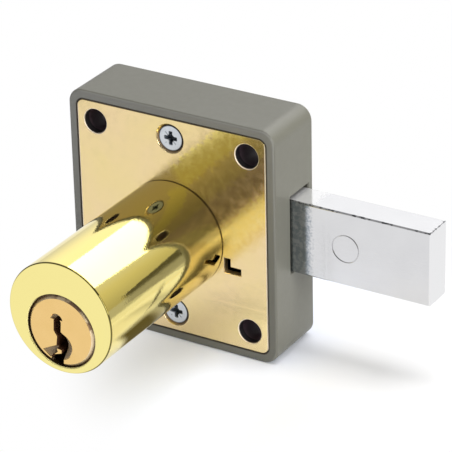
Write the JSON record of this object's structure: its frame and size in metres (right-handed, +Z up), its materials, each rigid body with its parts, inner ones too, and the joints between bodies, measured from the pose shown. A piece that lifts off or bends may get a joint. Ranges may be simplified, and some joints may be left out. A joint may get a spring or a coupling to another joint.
{
  "type": "furniture lock",
  "caption": "Surface-mounted furniture lock: box case with let-in cover plate, pin-tumbler cylinder standing out in front and a rack-driven sliding bolt.",
  "frame": {"origin": "centre of the four screw holes, on the front plane of the cover plate", "axes": "+X the way the bolt is thrown, -Y the way the cylinder points, +Z up with the bolt level"},
  "size_m": [0.074, 0.0525, 0.0484],
  "materials": {
    "painted_case": "satin grey paint over a zinc casting",
    "satin_gilt_plate": "pale gilt sheet, satin to bright",
    "polished_brass": "mirror-polished brass",
    "plug_brass": "turned warm brass",
    "plated_bolt": "satin nickel plate",
    "zinc_screw": "bright zinc plate",
    "spring_steel": "oiled spring steel",
    "steel_drive": "plain machined steel"
  },
  "bodies": {
    "housing": {"case": "painted_case", "cover_plate": "satin_gilt_plate", "cover_screw_upper": "zinc_screw", "cover_screw_lower": "zinc_screw", "cylinder_body": "polished_brass", "cylinder_circlip": "spring_steel", "bolt_leaf_spring": "spring_steel", "chamber_plug_1": "polished_brass", "chamber_plug_2": "polished_brass", "chamber_plug_3": "polished_brass", "chamber_plug_4": "polished_brass", "chamber_plug_5": "polished_brass", "pin_spring_1": "spring_steel", "pin_spring_2": "spring_steel", "pin_spring_3": "spring_steel", "pin_spring_4": "spring_steel", "pin_spring_5": "spring_steel"},
    "plug_turns": {"plug": "plug_brass", "plug_clip": "spring_steel", "drive_pinion": "steel_drive"},
    "bolt_slides": {"bolt": "plated_bolt", "bolt_rack": "steel_drive", "rack_rivet_1": "steel_drive", "rack_rivet_2": "steel_drive"},
    "key_pin_1_slides": {"key_pin_1": "plug_brass"},
    "driver_pin_1_slides": {"driver_pin_1": "steel_drive"},
    "key_pin_2_slides": {"key_pin_2": "plug_brass"},
    "driver_pin_2_slides": {"driver_pin_2": "steel_drive"},
    "key_pin_3_slides": {"key_pin_3": "plug_brass"},
    "driver_pin_3_slides": {"driver_pin_3": "steel_drive"},
    "key_pin_4_slides": {"key_pin_4": "plug_brass"},
    "driver_pin_4_slides": {"driver_pin_4": "steel_drive"},
    "key_pin_5_slides": {"key_pin_5": "plug_brass"},
    "driver_pin_5_slides": {"driver_pin_5": "steel_drive"}
  },
  "joints": [
    {"name": "plug_turn", "type": "hinge", "parent": "housing", "child": "plug_turns", "pos_m": [0, -0.0383, -0.00423], "axis": [0, -1, 0], "range_deg": [0, 360]},
    {"name": "bolt_slide", "type": "slide", "parent": "housing", "child": "bolt_slides", "axis": [1, 0, 0], "range_m": [-0.01884, 0]},
    {"name": "key_pin_slide_1", "type": "slide", "parent": "plug_turns", "child": "key_pin_1_slides", "axis": [0, 0, 1], "range_m": [-0.00177, 0.0006]},
    {"name": "driver_pin_slide_1", "type": "slide", "parent": "housing", "child": "driver_pin_1_slides", "axis": [0, 0, 1], "range_m": [-0.00177, 0.0006], "deforming": ["pin_spring_1"]},
    {"name": "key_pin_slide_2", "type": "slide", "parent": "plug_turns", "child": "key_pin_2_slides", "axis": [0, 0, 1], "range_m": [-0.00087, 0.0006]},
    {"name": "driver_pin_slide_2", "type": "slide", "parent": "housing", "child": "driver_pin_2_slides", "axis": [0, 0, 1], "range_m": [-0.00087, 0.0006], "deforming": ["pin_spring_2"]},
    {"name": "key_pin_slide_3", "type": "slide", "parent": "plug_turns", "child": "key_pin_3_slides", "axis": [0, 0, 1], "range_m": [-0.00147, 0.0006]},
    {"name": "driver_pin_slide_3", "type": "slide", "parent": "housing", "child": "driver_pin_3_slides", "axis": [0, 0, 1], "range_m": [-0.00147, 0.0006], "deforming": ["pin_spring_3"]},
    {"name": "key_pin_slide_4", "type": "slide", "parent": "plug_turns", "child": "key_pin_4_slides", "axis": [0, 0, 1], "range_m": [-0.00057, 0.0006]},
    {"name": "driver_pin_slide_4", "type": "slide", "parent": "housing", "child": "driver_pin_4_slides", "axis": [0, 0, 1], "range_m": [-0.00057, 0.0006], "deforming": ["pin_spring_4"]},
    {"name": "key_pin_slide_5", "type": "slide", "parent": "plug_turns", "child": "key_pin_5_slides", "axis": [0, 0, 1], "range_m": [-0.00117, 0.0006]},
    {"name": "driver_pin_slide_5", "type": "slide", "parent": "housing", "child": "driver_pin_5_slides", "axis": [0, 0, 1], "range_m": [-0.00117, 0.0006], "deforming": ["pin_spring_5"]}
  ],
  "couplings": [
    {"joint": "plug_turn", "follows": "bolt_slide", "rad_per_m": -333.33},
    {"joint": "driver_pin_slide_1", "follows": "key_pin_slide_1", "ratio": 1},
    {"joint": "driver_pin_slide_2", "follows": "key_pin_slide_2", "ratio": 1},
    {"joint": "driver_pin_slide_3", "follows": "key_pin_slide_3", "ratio": 1},
    {"joint": "driver_pin_slide_4", "follows": "key_pin_slide_4", "ratio": 1},
    {"joint": "driver_pin_slide_5", "follows": "key_pin_slide_5", "ratio": 1}
  ]
}
